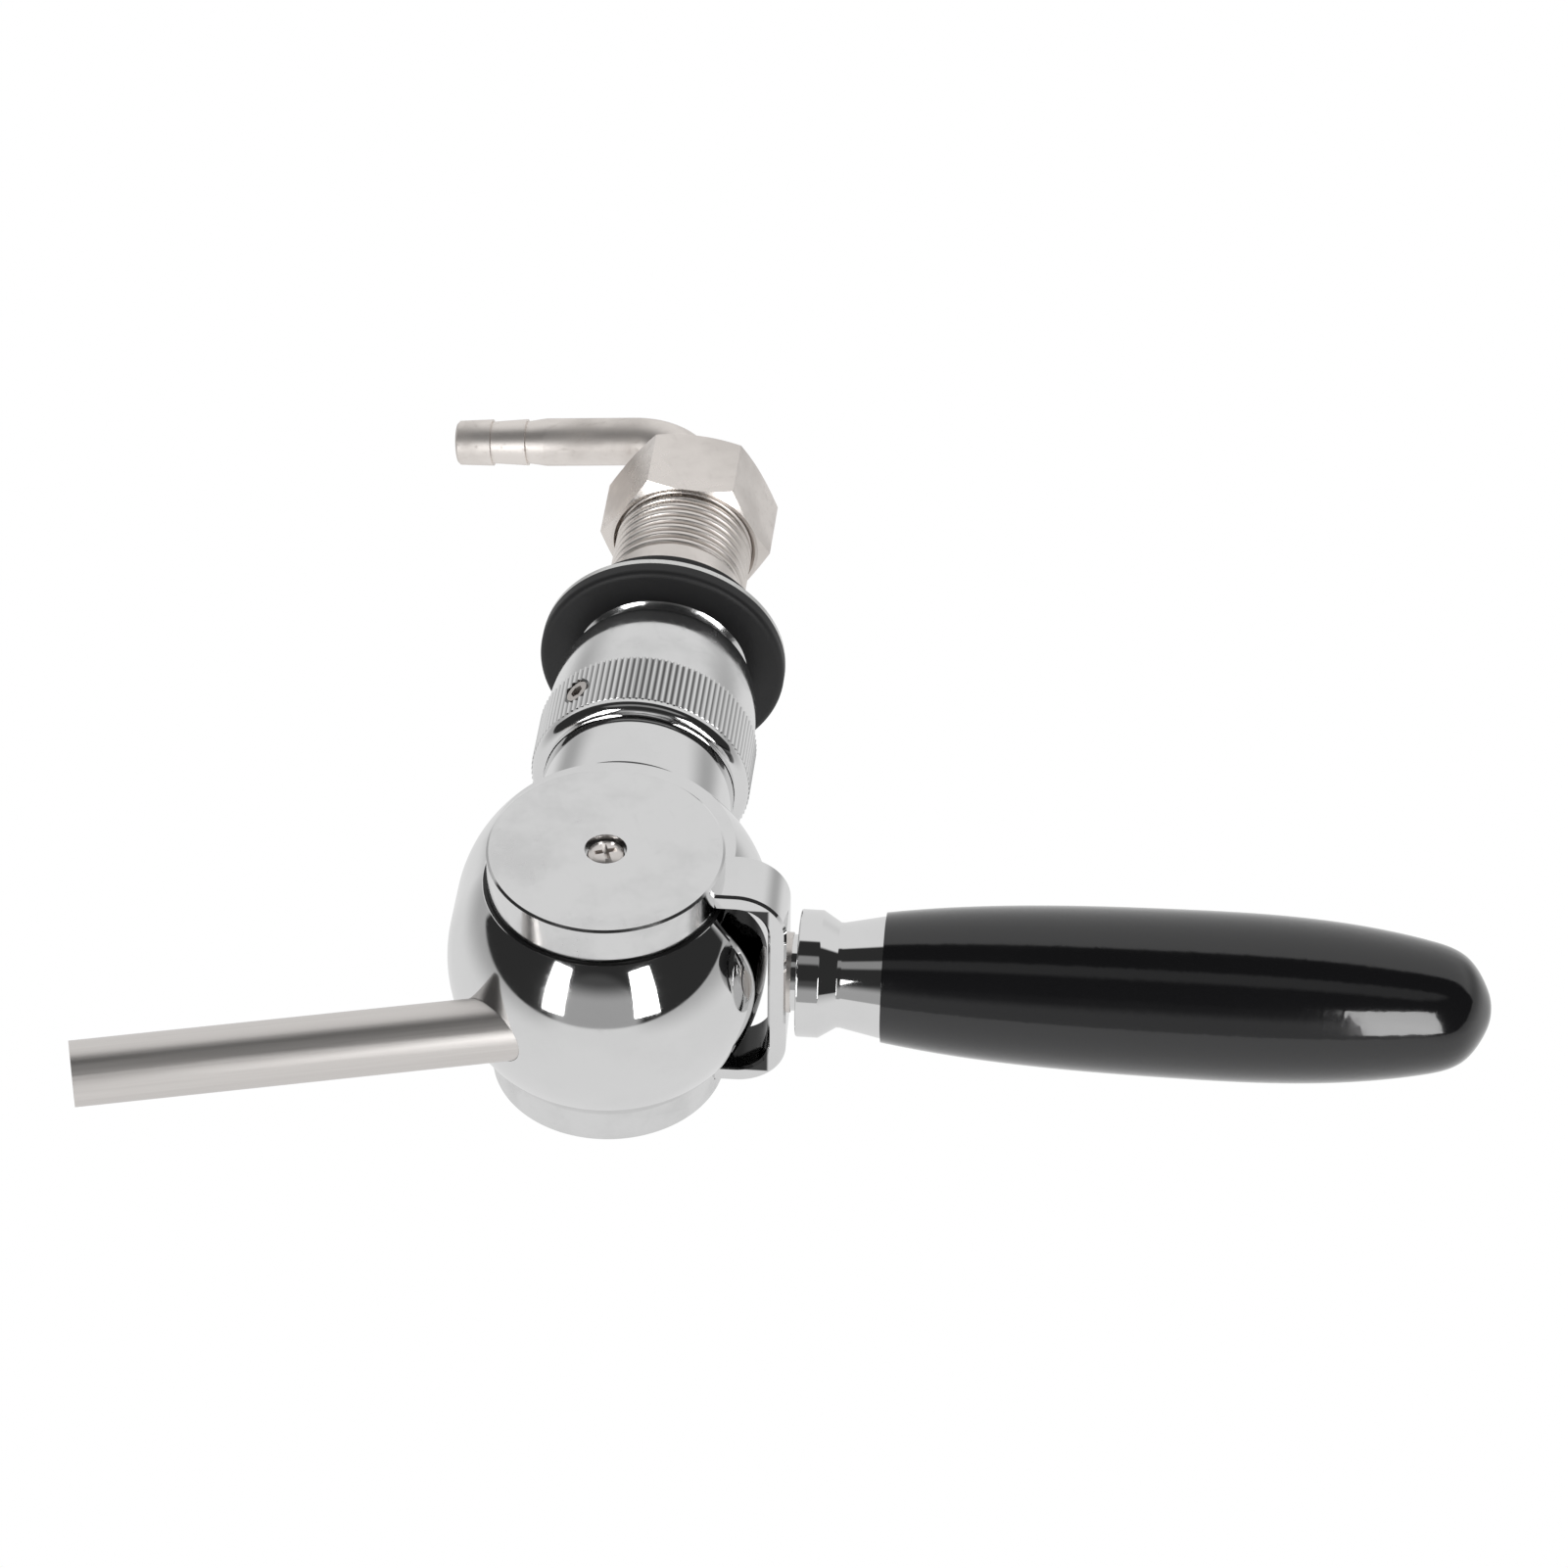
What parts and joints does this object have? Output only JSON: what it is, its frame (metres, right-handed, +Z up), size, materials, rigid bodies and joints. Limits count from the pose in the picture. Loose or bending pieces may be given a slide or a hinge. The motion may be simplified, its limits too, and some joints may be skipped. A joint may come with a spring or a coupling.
{
  "type": "beer tap",
  "caption": "Beer tap with a ball body, a yoke lever with a tapered grip, a leaning spout, a knurled flow-control ring and a threaded shank with a bent hose tail.",
  "frame": {"origin": "on the shank's axis at the wall face, where the rubber washer bears", "axes": "+Z up along the resting lever, +Y along the shank through the wall, -Y towards the drinker, X along the lever's pivot"},
  "size_m": [0.0456, 0.1725, 0.2179],
  "materials": {
    "chrome": "polished",
    "nickel": "satin nickel plate",
    "brushed_stainless": "brushed along its length",
    "stainless": "satin",
    "brass": "turned",
    "grip_black": "high gloss",
    "flange_black": "matt",
    "washer_grey": "satin",
    "washer_rubber": "matt",
    "seal_rubber": "satin",
    "ptfe": "waxy",
    "plug_plastic": "satin"
  },
  "bodies": {
    "base": {"ball_body": "chrome", "inlet_seat": "ptfe", "spout": "brushed_stainless", "spout_seal": "seal_rubber", "ring_front_seal": "seal_rubber", "ring_back_seal": "seal_rubber", "neck_washer": "seal_rubber", "shank": "chrome", "flange": "flange_black", "backing_washer": "washer_grey", "rubber_washer": "washer_rubber", "union_nut": "nickel", "tail_washer": "seal_rubber", "tail_elbow": "nickel"},
    "lever": {"rotor": "stainless", "rotor_seals": "seal_rubber", "left_cap": "chrome", "right_cap": "chrome", "cap_screws": "stainless", "yoke": "chrome", "lock_washer": "stainless", "stud_nut": "chrome", "handle_stud": "stainless", "ferrule": "chrome", "grip_insert": "brass", "grip": "grip_black"},
    "ring": {"flow_ring": "chrome", "ring_screw": "stainless"},
    "plug": {"compensator": "plug_plastic"}
  },
  "joints": [
    {"name": "lever_pivot", "type": "hinge", "parent": "base", "child": "lever", "pos_m": [0, -0.0776, 0], "axis": [1, 0, 0], "range_deg": [0, 85]},
    {"name": "ring_turn", "type": "hinge", "parent": "base", "child": "ring", "pos_m": [0, -0.03165, 0], "axis": [0, 1, 0], "range_deg": [-40, 40]},
    {"name": "compensator_slide", "type": "slide", "parent": "base", "child": "plug", "axis": [0, 1, 0], "range_m": [-0.003, 0.003]}
  ],
  "couplings": [
    {"joint": "compensator_slide", "follows": "ring_turn", "m_per_rad": -0.0042972}
  ]
}
